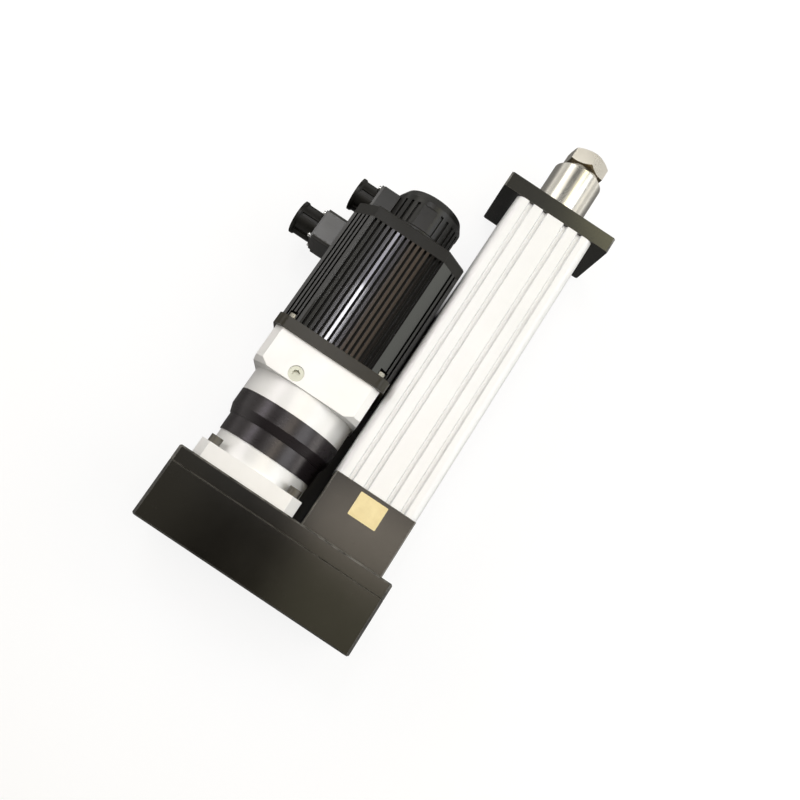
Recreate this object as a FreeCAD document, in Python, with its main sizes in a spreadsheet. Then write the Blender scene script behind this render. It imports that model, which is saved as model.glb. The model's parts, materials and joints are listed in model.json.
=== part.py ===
import FreeCAD, Part
import math
import os
import Sketcher

# Servo electric cylinder with a parallel belt drive, in millimetres.
# +X is the way the rod comes out, +Y points from the cylinder to the motor, +Z is up.
# The origin is on the rod axis, in the front face of the front flange.

document = FreeCAD.newDocument("ServoElectricCylinder")
sheet = document.addObject("Spreadsheet::Sheet", "Sizes")

sizes = {
    # Clearances
    "runningFit": 0.05,
    "looseFit": 0.3,
    # Cylinder
    "stroke": 200,
    "barrelWidth": 93.5,
    "barrelLength": 349,
    "barrelCorner": 8,
    "barrelBore": 74,
    "innerGroove": 13,
    "outerGroove": 30.3,
    "grooveMouth": 6,
    "grooveFloor": 3.4,
    "grooveDepth": 4,
    "keyWidth": 12,
    "keyDepth": 3,
    "barrelScrewSpacing": 75,
    "blockWidth": 93,
    "blockLength": 62,
    "blockEdge": 1.2,
    "flangeWidth": 131,
    "flangeHeight": 94,
    "flangeThickness": 18,
    "flangeEdge": 2,
    "flangeHole": 8.5,
    "flangeHoleDepth": 14,
    "flangeHoleInset": 9.5,
    "flangeHoleRise": 15,
    "spigotLength": 30,
    "bushThickness": 4,
    "wiperLength": 9,
    "wiperThickness": 5.5,
    "bumperLength": 10,
    "restGap": 2,
    "rodDiameter": 58,
    "rodBore": 42,
    "rodReach": 59.5,
    "rodTaperLength": 6.5,
    "rodTaperDepth": 6,
    "rodThread": 30,
    "rodThreadDepth": 35,
    "neckLength": 1,
    "hexFlats": 43.3,
    "hexHeight": 20,
    "hexEdge": 3,
    "hexFoot": 6.5,
    "hexFootLength": 4.5,
    "endThread": 17.5,
    "endThreadDepth": 42,
    "pistonLength": 34,
    "nutDiameter": 52,
    "nutLength": 72,
    "wearRingLength": 10,
    "wearRingDepth": 2,
    "screwDiameter": 32,
    "screwJournal": 25,
    "screwBearingOuter": 62,
    "screwBearingSplit": 42,
    "screwBearingWidth": 17,
    "lockNutDiameter": 38,
    "lockNutLength": 10,
    "retainerLength": 10,
    # Belt drive
    "motorClearance": 3.25,
    "cylinderMargin": 57,
    "motorMargin": 68.5,
    "housingHeight": 130,
    "housingCorner": 3,
    "basePlate": 16.5,
    "coverDepth": 60.5,
    "seamEdge": 0.5,
    "coverWall": 6,
    "coverBoss": 20,
    "coverScrewInset": 9,
    "screwRelief": 2,
    "shaftHole": 46,
    "pulleyDiameter": 90.3,
    "pulleyGroove": 3.2,
    "pulleyFlangeDiameter": 100,
    "pulleyFlange": 2,
    "beltWidth": 32,
    "beltThickness": 3.2,
    # Planetary gearbox
    "gearPlateWidth": 115,
    "gearPlate": 17,
    "gearPlateCorner": 10,
    "gearBoltSpacing": 91,
    "bossDiameter": 106.5,
    "bossLength": 18.5,
    "ringDiameter": 109.5,
    "ringShoulder": 118,
    "ringLength": 46,
    "ringStepStart": 19,
    "ringStepLength": 9.5,
    "ringLedge": 1.1,
    "inputDiameter": 117.6,
    "inputLength": 25.5,
    "inputWeb": 6,
    "adapterStep": 4,
    "adapterLength": 40.6,
    "adapterCorner": 8,
    "adapterCut": 5.1,
    "adapterTaper": 7,
    "clampBore": 80,
    "plugDiameter": 16,
    "plugRecess": 1.5,
    "plugLength": 9,
    "plugOffset": 16.9,
    "plugRise": 9.4,
    "gearModule": 1.25,
    "gearWidth": 24,
    "gearBacklash": 0.24,
    "outputShaft": 32,
    "outputBearingInner": 40,
    "outputBearingSplit": 50,
    "outputBearingOuter": 62,
    "outputBearingWidth": 12,
    "outputSealWidth": 7,
    "carrierDisc": 12,
    "carrierRim": 4.8,
    "planetGap": 2,
    "pinDiameter": 12,
    "pinHead": 16,
    "pinHeadLength": 3,
    "sunCore": 5,
    "sunClearance": 1.25,
    "hubDiameter": 50,
    "hubLength": 40,
    # Servo motor
    "motorFlangeLip": 0.5,
    "motorFlange": 12.2,
    "motorFlangeCorner": 12,
    "motorPilotInset": 10,
    "motorPilotLength": 5,
    "motorBoltInset": 13.7,
    "motorScrewGrip": 16,
    "motorWidth": 129,
    "motorLength": 133.7,
    "motorCorner": 22,
    "finPitch": 6,
    "finGroove": 2.8,
    "finDepth": 7,
    "cornerFinDepth": 5,
    "scoopDiameter": 14,
    "scoopLength": 9,
    "housingWall": 5.5,
    "rearPlate": 14,
    "motorShaft": 24,
    "frontBearingInner": 30,
    "frontBearingSplit": 46,
    "frontBearingOuter": 62,
    "rearBearingInner": 20,
    "rearBearingSplit": 32,
    "rearBearingOuter": 47,
    "motorBearingWidth": 14,
    "bearingBossLength": 8,
    "bearingShoulder": 2,
    "windingGap": 4,
    "windingInset": 3,
    "magnetThickness": 10,
    "statorThickness": 20.4,
    "airGap": 0.6,
    "windingLength": 14,
    "encoderDiameter": 80,
    "encoderLength": 53,
    "encoderTaper": 9,
    "encoderTaperDepth": 5,
    "encoderWall": 3.5,
    "panelDepth": 1,
    "encoderBodyDiameter": 60,
    "encoderDiscDiameter": 44,
    "encoderDisc": 2,
    "encoderDiscRise": 10,
    "encoderBodyWall": 4,
    "encoderBodyGap": 3,
    "encoderStub": 14,
    "encoderLip": 6,
    "encoderFoot": 12,
    "encoderFootStep": 1.5,
    "slotDepth": 2.6,
    "panelWidth": 16.4,
    "panelSlot": 3.4,
    "rearPlateEdge": 2,
    # Connectors
    "powerInset": 23.4,
    "powerBoxLength": 37.4,
    "powerBoxRise": 24.7,
    "powerBoxWidth": 52,
    "connectorPlate": 36,
    "connectorPlateThickness": 3,
    "connectorScrewInset": 3.4,
    "connectorScrewHead": 5,
    "connectorScrewRise": 2.5,
    "connectorShell": 26,
    "connectorShellLength": 14,
    "connectorWall": 2.5,
    "capDiameter": 35,
    "capRim": 38,
    "capRimLength": 3,
    "powerCapLength": 24.7,
    "signalCapLength": 21.2,
    "capWall": 2,
    "signalGap": 2.5,
    "signalBoxRise": 16.4,
    "signalBoxSize": 37,
    "powerBoxCorner": 4,
    "connectorFloor": 4,
    "capFlare": 2,
    "capSlotWidth": 4,
    "capSlotDepth": 2,
    # Socket head screws
    "smallScrewThread": 5,
    "smallScrewHead": 8.5,
    "smallScrewHeadLength": 5,
    "smallScrewKey": 4,
    "mediumScrewThread": 6,
    "mediumScrewHead": 10,
    "mediumScrewHeadLength": 6,
    "mediumScrewKey": 5,
    "largeScrewThread": 8,
    "largeScrewHead": 13,
    "largeScrewHeadLength": 8,
    "largeScrewKey": 6,
}

# Tooth counts
sunTeeth = 18
planetTeeth = 27
ringTeeth = sunTeeth + 2 * planetTeeth
planetCount = 3
pulleyTeeth = 36

# Angles: how far the hex is turned, and the slots each side of the encoder cover's panel
hexTurn = 38
slotTurns = (21, 33, 46)

# Grooves on the motor's corners by the corner's angle, in fin pitches from the corner's middle
cornerGrooves = {45: (-1.5, -0.5, 0.5, 1.5), -45: (-1.5, -0.5, 0.5, 1.5), 135: (0.5, 1.5), -135: (-1.5, -0.5)}


class Size:
    """A length known both as a number and as a formula on the sheet."""

    def __init__(self, number, formula):
        self.number = number
        self.formula = formula

    def __add__(self, other):
        other = asSize(other)
        return Size(self.number + other.number, f"({self.formula} + {other.formula})")

    def __sub__(self, other):
        other = asSize(other)
        return Size(self.number - other.number, f"({self.formula} - {other.formula})")

    def __rsub__(self, other):
        return asSize(other) - self

    def __mul__(self, factor):
        return Size(self.number * factor, f"({self.formula} * ({factor:.9f}))")

    def __truediv__(self, divisor):
        return Size(self.number / divisor, f"({self.formula} / {divisor})")

    def __neg__(self):
        return Size(-self.number, f"(-{self.formula})")

    __radd__ = __add__
    __rmul__ = __mul__


def asSize(item):
    if isinstance(item, Size):
        return item
    return Size(float(item), f"({float(item):.9f})")


class Sheet:
    """Gives each cell of the sheet by its alias."""

    def __getattr__(self, alias):
        return Size(float(sizes[alias]), "Sizes." + alias)


for row, (alias, number) in enumerate(sizes.items(), start=1):
    sheet.set(f"A{row}", alias)
    sheet.set(f"B{row}", str(number))
    sheet.setAlias(f"B{row}", alias)
document.recompute()
s = Sheet()
nodes = []


def bind(item, path, size):
    item.setExpression(path, asSize(size).formula)


def keep(item, label):
    item.Label = label
    nodes.append(item)
    return item


# Sketches and features

def newBody(name, axis=0):
    body = document.addObject("PartDesign::Body", name)
    bind(body, "Placement.Base.y", axis)
    return body


def newSketch(body, role, level):
    sketch = body.newObject("Sketcher::SketchObject", body.Name + "Sketch")
    plane = next(item for item in body.Origin.OriginFeatures if item.Role == role)
    sketch.AttachmentSupport = [(plane, "")]
    sketch.MapMode = "FlatFace"
    bind(sketch, "AttachmentOffset.Base.z", level)
    return sketch


def pin(sketch, kinds, geometry, point, places):
    for kind, place in zip(kinds, places):
        size = asSize(place)
        constraint = Sketcher.Constraint(kind, -1, 1, geometry, point, size.number)
        index = sketch.addConstraint(constraint)
        sketch.setExpression(f"Constraints[{index}]", size.formula)


def outline(sketch, points):
    first = sketch.GeometryCount
    corners = [FreeCAD.Vector(asSize(x).number, asSize(y).number, 0) for x, y in points]
    following = corners[1:] + corners[:1]
    sketch.addGeometry([Part.LineSegment(a, b) for a, b in zip(corners, following)], False)
    count = len(points)
    joints = [Sketcher.Constraint("Coincident", first + n, 2, first + (n + 1) % count, 1)
              for n in range(count)]
    sketch.addConstraint(joints)
    for n, place in enumerate(points):
        pin(sketch, ("DistanceX", "DistanceY"), first + n, 1, place)


def circle(sketch, x, y, diameter):
    index = sketch.GeometryCount
    centre = FreeCAD.Vector(asSize(x).number, asSize(y).number, 0)
    radius = asSize(diameter).number / 2
    sketch.addGeometry(Part.Circle(centre, FreeCAD.Vector(0, 0, 1), radius), False)
    constraint = sketch.addConstraint(Sketcher.Constraint("Diameter", index, 2 * radius))
    sketch.setExpression(f"Constraints[{constraint}]", asSize(diameter).formula)
    pin(sketch, ("DistanceX", "DistanceY"), index, 3, (x, y))


def pad(body, sketch, length):
    feature = body.newObject("PartDesign::Pad", body.Name + "Pad")
    feature.Profile = sketch
    bind(feature, "Length", length)
    return feature


def pocket(body, sketch, depth, reverse=False):
    feature = body.newObject("PartDesign::Pocket", body.Name + "Pocket")
    feature.Profile = sketch
    bind(feature, "Length", depth)
    feature.Reversed = reverse
    return feature


def pattern(body, feature, sketch, axis, length, count):
    copies = body.newObject("PartDesign::LinearPattern", body.Name + "Pattern")
    copies.Originals = [feature]
    copies.Direction = (sketch, [axis])
    bind(copies, "Length", length)
    copies.Occurrences = count
    body.Tip = copies
    return copies


def edgesIn(shape, test):
    return [f"Edge{n}" for n, edge in enumerate(shape.Edges, start=1) if test(edge)]


def chamferFace(body, x, size):
    """Breaks the outer edges of the flat end face at x."""
    document.recompute()
    base = body.Tip
    level = asSize(x).number
    faces = [face for face in base.Shape.Faces
             if all(abs(vertex.X - level) < 1e-6 for vertex in face.Vertexes)]
    rim = max(faces, key=lambda face: face.Area).OuterWire
    names = edgesIn(base.Shape, lambda edge: any(edge.isSame(other) for other in rim.Edges))
    feature = body.newObject("PartDesign::Chamfer", body.Name + "Chamfer")
    feature.Base = (base, names)
    bind(feature, "Size", size)
    return feature


def roundCorners(body, width, radius):
    """Rounds the four long edges of a square section."""
    document.recompute()
    base = body.Tip
    half = asSize(width).number / 2
    corners = edgesIn(base.Shape, lambda edge: edge.BoundBox.XLength > 1e-6 and all(
        abs(abs(vertex.Y) - half) < 1e-6 and abs(abs(vertex.Z) - half) < 1e-6 for vertex in edge.Vertexes))
    fillet = body.newObject("PartDesign::Fillet", body.Name + "Fillet")
    fillet.Base = (base, corners)
    bind(fillet, "Radius", radius)
    return fillet


# Outlines

def rectangle(halfWidth, halfHeight, cut, centre=0):
    """A rectangle in Y and Z with its corners cut at 45 degrees."""
    low = centre - halfWidth
    high = centre + halfWidth
    return [(low + cut, -halfHeight), (high - cut, -halfHeight), (high, cut - halfHeight),
            (high, halfHeight - cut), (high - cut, halfHeight), (low + cut, halfHeight),
            (low, halfHeight - cut), (low, cut - halfHeight)]


def ringSection(start, end, inner, outer):
    """Half of the section of a ring, as axial place and radius."""
    return [(start, inner / 2), (end, inner / 2), (end, outer / 2), (start, outer / 2)]


def radialSlot(angle, inner, outer, width, aside=0):
    """A slot's rectangle that points away from the axis, or runs beside that line."""
    across = math.cos(math.radians(angle))
    up = math.sin(math.radians(angle))
    low = aside - width / 2
    high = aside + width / 2
    corners = [(inner, low), (outer, low), (outer, high), (inner, high)]
    return [(reach * across - side * up, reach * up + side * across) for reach, side in corners]


def square(spacing):
    half = spacing / 2
    return [(half, half), (-half, half), (-half, -half), (half, -half)]


def hexagon(flats, turn=0):
    corner = flats / (2 * math.cos(math.radians(30)))
    angles = [math.radians(turn + 60 * n) for n in range(6)]
    return [(corner * math.cos(angle), corner * math.sin(angle)) for angle in angles]


# Pieces by how they are made

def turned(name, points, axis=0):
    body = newBody(name, axis)
    sketch = newSketch(body, "XY_Plane", 0)
    outline(sketch, points)
    feature = body.newObject("PartDesign::Revolution", name + "Turn")
    feature.Profile = sketch
    feature.ReferenceAxis = (sketch, ["H_Axis"])
    feature.Angle = 360
    return body


def prism(name, start, length, points, holes=(), axis=0):
    body = newBody(name, axis)
    sketch = newSketch(body, "YZ_Plane", start)
    outline(sketch, points)
    for y, z, diameter in holes:
        circle(sketch, y, z, diameter)
    pad(body, sketch, length)
    return body


def bore(body, start, depth, holes, forward=True):
    sketch = newSketch(body, "YZ_Plane", start)
    for y, z, diameter in holes:
        circle(sketch, y, z, diameter)
    pocket(body, sketch, depth, forward)


def group(label, items):
    compound = document.addObject("Part::Compound", label)
    compound.Links = items
    return keep(compound, label)


def cut(label, base, tool):
    result = document.addObject("Part::Cut", label)
    result.Base = base
    result.Tool = tool
    return keep(result, label)


def cylinder(name, turn, diameter, length, place):
    item = document.addObject("Part::Cylinder", name)
    item.Placement = FreeCAD.Placement(FreeCAD.Vector(), turn)
    bind(item, "Radius", diameter / 2)
    bind(item, "Height", length)
    for letter, size in zip("xyz", place):
        bind(item, "Placement.Base." + letter, size)
    return item


def box(name, lengths, place):
    item = document.addObject("Part::Box", name)
    for side, size in zip(("Length", "Width", "Height"), lengths):
        bind(item, side, size)
    for letter, size in zip("xyz", place):
        bind(item, "Placement.Base." + letter, size)
    return item


alongX = FreeCAD.Rotation(FreeCAD.Vector(0, 1, 0), 90)
alongY = FreeCAD.Rotation(FreeCAD.Vector(1, 0, 0), -90)
alongZ = FreeCAD.Rotation()


# Socket head screws

def screwSize(kind, part):
    return getattr(s, kind + part)


def screws(label, kind, seat, reach, places, axis=0, headForward=True):
    """Screws along X whose heads stand on the face at seat, and reach into the work."""
    side = 1 if headForward else -1
    thread = screwSize(kind, "Thread") / 2
    head = screwSize(kind, "Head") / 2
    top = seat + side * screwSize(kind, "HeadLength")
    end = seat - side * reach
    items = []
    for number, (y, z) in enumerate(places, start=1):
        body = turned(f"{label}{number}", [(end, 0), (end, thread), (seat, thread), (seat, head),
                                          (top, head), (top, 0)])
        bind(body, "Placement.Base.y", axis + y)
        bind(body, "Placement.Base.z", z)
        sketch = newSketch(body, "YZ_Plane", top)
        outline(sketch, hexagon(screwSize(kind, "Key")))
        pocket(body, sketch, screwSize(kind, "HeadLength") / 2, not headForward)
        items.append(body)
    return group(label, items)


def clearHole(kind):
    return screwSize(kind, "Thread") + 2 * s.looseFit


# Stations along X

flangeBack = -s.flangeThickness
barrelRear = flangeBack - s.barrelLength
blockRear = barrelRear - s.blockLength
plateRear = blockRear - s.basePlate
coverRear = plateRear - s.coverDepth
gearPlateTop = blockRear + s.gearPlate
bossTop = gearPlateTop + s.bossLength
ringTop = bossTop + s.ringLength
inputTop = ringTop + s.inputLength
adapterTop = inputTop + s.adapterLength
motorFlangeTop = adapterTop + s.motorFlange
motorTop = motorFlangeTop + s.motorLength
rearTop = motorTop + s.rearPlate
encoderTop = rearTop + s.encoderLength
motorAxis = s.barrelWidth / 2 + s.motorWidth / 2 + s.motorClearance

# Widths that follow the motor's

motorBore = s.motorWidth - 2 * (s.finDepth + s.housingWall)
motorFlangeWidth = s.motorWidth + 2 * s.motorFlangeLip
motorPilot = motorFlangeWidth - 2 * s.motorPilotInset
motorBoltSpacing = motorFlangeWidth - 2 * s.motorBoltInset
adapterWidth = motorFlangeWidth - 2 * s.adapterStep
statorBore = motorBore - 2 * s.statorThickness
rotorDiameter = statorBore - 2 * s.airGap
rotorCore = rotorDiameter - 2 * s.magnetThickness


# Barrel: a grooved square extrusion with two key ways

def barrelFace():
    half = s.barrelWidth / 2
    points = [(-half, half)]
    for place in (-s.outerGroove, -s.innerGroove, s.innerGroove, s.outerGroove):
        points += [(place - s.grooveMouth / 2, half), (place - s.grooveFloor / 2, half - s.grooveDepth),
                   (place + s.grooveFloor / 2, half - s.grooveDepth), (place + s.grooveMouth / 2, half)]
    return points


def quarterTurns(points):
    everything = []
    for turn in ((1, 0), (0, 1), (-1, 0), (0, -1)):
        everything += [(x * turn[0] + y * turn[1], y * turn[0] - x * turn[1]) for x, y in points]
    return everything


def makeBarrel():
    screwHoles = [(y, z, clearHole("mediumScrew")) for y, z in square(s.barrelScrewSpacing)]
    body = prism("Barrel", barrelRear, s.barrelLength, quarterTurns(barrelFace()), screwHoles)
    bore(body, barrelRear, s.barrelLength, [(0, 0, s.barrelBore)])
    sketch = newSketch(body, "YZ_Plane", barrelRear)
    reach = s.barrelBore / 2 + s.keyDepth
    outline(sketch, [(-reach, -s.keyWidth / 2), (reach, -s.keyWidth / 2),
                     (reach, s.keyWidth / 2), (-reach, s.keyWidth / 2)])
    pocket(body, sketch, s.barrelLength, True)
    roundCorners(body, s.barrelWidth, s.barrelCorner)
    keep(body, "barrel")


makeBarrel()


# Front flange with its spigot, bush, wiper and bumper

def makeFrontEnd():
    rod = s.rodDiameter + 2 * s.runningFit
    bushOuter = s.rodDiameter + 2 * s.bushThickness
    wiperOuter = s.rodDiameter + 2 * s.wiperThickness
    spigotEnd = flangeBack - s.spigotLength
    holeAcross = s.flangeWidth / 2 - s.flangeHoleInset
    holeHigh = s.flangeHeight / 2 - s.flangeHoleRise
    mountHoles = [(y * holeAcross, z * holeHigh, s.flangeHole)
                  for y, z in ((1, 1), (-1, 1), (-1, -1), (1, -1))]
    screwPlaces = square(s.barrelScrewSpacing)
    screwHoles = [(y, z, clearHole("mediumScrew")) for y, z in screwPlaces]
    sinks = [(y, z, screwSize("mediumScrew", "Head") + 2 * s.looseFit) for y, z in screwPlaces]
    flange = prism("FrontFlange", flangeBack, s.flangeThickness,
                   rectangle(s.flangeWidth / 2, s.flangeHeight / 2, s.flangeEdge), screwHoles)
    sketch = newSketch(flange, "YZ_Plane", spigotEnd)
    circle(sketch, 0, 0, s.barrelBore - 2 * s.runningFit)
    pad(flange, sketch, s.spigotLength)
    bore(flange, spigotEnd, s.flangeThickness + s.spigotLength, [(0, 0, bushOuter)])
    bore(flange, 0, s.wiperLength, [(0, 0, wiperOuter)], False)
    sinkDepth = screwSize("mediumScrew", "HeadLength") + s.looseFit
    bore(flange, 0, sinkDepth, sinks, False)
    bore(flange, 0, s.flangeHoleDepth, mountHoles, False)
    keep(flange, "front_flange")
    keep(turned("RodBush", ringSection(spigotEnd, -s.wiperLength, rod, bushOuter)), "rod_bush")
    keep(turned("RodWiper", ringSection(-s.wiperLength, 0, rod, wiperOuter)), "rod_wiper")
    bumperInner = s.rodDiameter + 4 * s.looseFit
    bumperOuter = s.barrelBore - 2 * s.runningFit
    keep(turned("FrontBumper", ringSection(spigotEnd - s.bumperLength, spigotEnd, bumperInner, bumperOuter)),
         "front_bumper")
    screws("front_flange_screws", "mediumScrew", -sinkDepth, 2 * s.flangeThickness, screwPlaces)


makeFrontEnd()


# Bearing block, its bearings and the ball screw

bearingFront = blockRear + s.lockNutLength + 2 * s.looseFit + 2 * s.screwBearingWidth
bearingRear = bearingFront - 2 * s.screwBearingWidth
beltMiddle = (plateRear + coverRear + s.coverWall) / 2
pulleyHalf = s.beltWidth / 2 + s.pulleyFlange + s.looseFit


def makeBearingBlock():
    screwPlaces = square(s.barrelScrewSpacing)
    holes = [(y, z, clearHole("mediumScrew")) for y, z in screwPlaces]
    shoulder = s.shaftHole
    block = prism("BearingBlock", blockRear, s.blockLength,
                  rectangle(s.blockWidth / 2, s.blockWidth / 2, s.blockEdge), holes + [(0, 0, shoulder)])
    bore(block, bearingRear, s.blockLength, [(0, 0, s.screwBearingOuter)])
    keep(block, "bearing_block")
    outer = []
    inner = []
    for number in range(2):
        start = bearingRear + number * s.screwBearingWidth
        end = start + s.screwBearingWidth
        split = s.screwBearingSplit
        outer.append(turned(f"ScrewOuterRing{number}",
                            ringSection(start, end, split + 2 * s.runningFit, s.screwBearingOuter)))
        inner.append(turned(f"ScrewInnerRing{number}", ringSection(start, end, s.screwJournal, split)))
    group("screw_bearing_outer_rings", outer)
    group("screw_bearing_inner_rings", inner)
    retainer = ringSection(bearingFront, bearingFront + s.retainerLength,
                           s.screwBearingSplit + 2 * s.looseFit, s.screwBearingOuter)
    keep(turned("BearingRetainer", retainer), "bearing_retainer")
    lockNut = ringSection(bearingRear - s.lockNutLength, bearingRear, s.screwJournal, s.lockNutDiameter)
    keep(turned("ScrewLockNut", lockNut), "screw_lock_nut")
    sinkSeat = plateRear + s.basePlate / 2
    screws("block_screws", "mediumScrew", sinkSeat, s.blockLength + s.basePlate, screwPlaces,
           headForward=False)
    bumperInner = s.screwDiameter + 4 * s.looseFit
    bumper = ringSection(barrelRear, barrelRear + s.bumperLength, bumperInner,
                         s.barrelBore - 2 * s.runningFit)
    keep(turned("RearBumper", bumper), "rear_bumper")


makeBearingBlock()

pistonRear = barrelRear + s.bumperLength + s.restGap
pistonFront = pistonRear + s.pistonLength
nutFront = pistonRear + s.nutLength
screwTip = nutFront + s.stroke + s.looseFit
rodFace = s.rodReach + s.rodTaperLength
threadRear = rodFace - s.rodThreadDepth


def makeRodGroup():
    nutBore = s.screwDiameter + 2 * s.runningFit
    nut = ringSection(pistonRear, nutFront, nutBore, s.nutDiameter)
    keep(turned("BallNut", nut), "ball_nut")
    guide = s.barrelBore - 2 * s.looseFit
    grooveStart = pistonRear + (s.pistonLength - s.wearRingLength) / 2
    grooveEnd = grooveStart + s.wearRingLength
    grooveRadius = guide / 2 - s.wearRingDepth
    piston = turned("GuidePiston", ringSection(pistonRear, pistonFront, s.nutDiameter, guide))
    sketch = newSketch(piston, "YZ_Plane", pistonRear)
    keySide = s.keyWidth / 2 - s.runningFit
    keyReach = s.barrelBore / 2 + s.keyDepth - s.looseFit
    for side in (1, -1):
        near = side * (guide / 2 - s.wearRingDepth)
        far = side * keyReach
        outline(sketch, [(near, -keySide), (far, -keySide), (far, keySide), (near, keySide)])
    pad(piston, sketch, s.pistonLength)
    groove = turned("WearGroove", [(grooveStart, grooveRadius), (grooveEnd, grooveRadius),
                                   (grooveEnd, guide), (grooveStart, guide)])
    cut("guide_piston", piston, groove)
    wear = ringSection(grooveStart, grooveEnd, 2 * grooveRadius, s.barrelBore - 2 * s.runningFit)
    keep(turned("WearRing", wear), "wear_ring")
    outer = s.rodDiameter / 2
    tube = [(pistonFront, s.nutDiameter / 2), (nutFront, s.nutDiameter / 2), (nutFront, s.rodBore / 2),
            (threadRear, s.rodBore / 2), (threadRear, s.rodThread / 2), (rodFace, s.rodThread / 2),
            (rodFace, outer - s.rodTaperDepth), (s.rodReach, outer), (pistonFront, outer)]
    keep(turned("RodTube", tube), "rod_tube")


def makeRodEnd():
    hexStart = rodFace + s.neckLength
    hexEnd = hexStart + s.hexHeight
    corner = s.hexFlats / (2 * math.cos(math.radians(30)))
    stem = s.rodThread / 2
    bevel = s.hexEdge * math.tan(math.radians(30))
    blank = [(threadRear, 0), (threadRear, stem), (hexStart, stem), (hexStart, corner - s.hexFoot),
             (hexStart + s.hexFootLength, corner), (hexEnd - bevel, corner), (hexEnd, corner - s.hexEdge), (hexEnd, 0)]
    turning = turned("RodEndBlank", blank)
    bore(turning, hexEnd, s.endThreadDepth, [(0, 0, s.endThread)], False)
    outside = prism("RodEndFlats", threadRear, hexEnd - threadRear, hexagon(s.hexFlats, hexTurn))
    common = document.addObject("Part::Common", "RodEnd")
    common.Base = turning
    common.Tool = outside
    keep(common, "rod_end")


makeRodGroup()
makeRodEnd()


def makeBallScrew():
    journal = s.screwJournal / 2
    tail = beltMiddle - pulleyHalf - s.pulleyFlange
    points = [(tail, 0), (tail, journal), (bearingFront, journal), (bearingFront, s.screwDiameter / 2),
              (screwTip, s.screwDiameter / 2), (screwTip, 0)]
    keep(turned("BallScrew", points), "ball_screw")


makeBallScrew()


# Belt drive

def toothedDisc(name, start, width, shaft, points, axis):
    """A toothed disc along X: points give its outline as angle and radius."""
    corners = [FreeCAD.Vector(start.number, radius * math.cos(angle), radius * math.sin(angle))
               for angle, radius in points]
    disc = Part.Face(Part.makePolygon(corners + corners[:1]))
    hole = Part.makeCircle(shaft.number / 2, FreeCAD.Vector(start.number, 0, 0), FreeCAD.Vector(1, 0, 0))
    ring = disc.cut(Part.Face(Part.Wire(hole)))
    feature = document.addObject("Part::Feature", name)
    feature.Shape = ring.extrude(FreeCAD.Vector(width.number, 0, 0))
    feature.Placement = FreeCAD.Placement(FreeCAD.Vector(0, asSize(axis).number, 0), FreeCAD.Rotation())
    return feature


def pulleyOutline():
    outer = s.pulleyDiameter.number / 2
    inner = outer - s.pulleyGroove.number
    pitch = 2 * math.pi / pulleyTeeth
    points = []
    for tooth in range(pulleyTeeth):
        middle = tooth * pitch
        points += [(middle - 0.30 * pitch, outer), (middle - 0.18 * pitch, inner),
                   (middle + 0.18 * pitch, inner), (middle + 0.30 * pitch, outer)]
    return points


def makePulley(label, name, shaft, axis):
    start = beltMiddle - pulleyHalf
    wheel = toothedDisc(name + "Wheel", start, 2 * pulleyHalf, shaft, pulleyOutline(), axis)
    sides = []
    for number, place in enumerate((start, beltMiddle + pulleyHalf - s.pulleyFlange)):
        side = ringSection(place, place + s.pulleyFlange, shaft, s.pulleyFlangeDiameter)
        sides.append(turned(f"{name}Side{number}", side, axis))
    fuse = document.addObject("Part::MultiFuse", name)
    fuse.Shapes = [wheel] + sides
    keep(fuse, label)


def stadium(name, radius, start, length):
    ends = [cylinder(f"{name}End{number}", alongX, 2 * radius, length, (start, axis, 0))
            for number, axis in enumerate((0, motorAxis))]
    middle = box(name + "Middle", (length, motorAxis, 2 * radius), (start, 0, -radius))
    fuse = document.addObject("Part::MultiFuse", name)
    fuse.Shapes = ends + [middle]
    return fuse


def makeBelt():
    inner = s.pulleyDiameter / 2 + s.looseFit
    start = beltMiddle - s.beltWidth / 2
    outside = stadium("BeltOutside", inner + s.beltThickness, start, s.beltWidth)
    inside = stadium("BeltInside", inner, start, s.beltWidth)
    cut("timing_belt", outside, inside)


housingMiddle = (motorAxis + s.motorMargin - s.cylinderMargin) / 2
housingHalf = (motorAxis + s.motorMargin + s.cylinderMargin) / 2


def coverScrewPlaces():
    half = housingHalf - s.coverScrewInset
    high = s.housingHeight / 2 - s.coverScrewInset
    return [(housingMiddle + y * half, z * high) for y, z in ((1, 1), (-1, 1), (-1, -1), (1, -1))]


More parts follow.
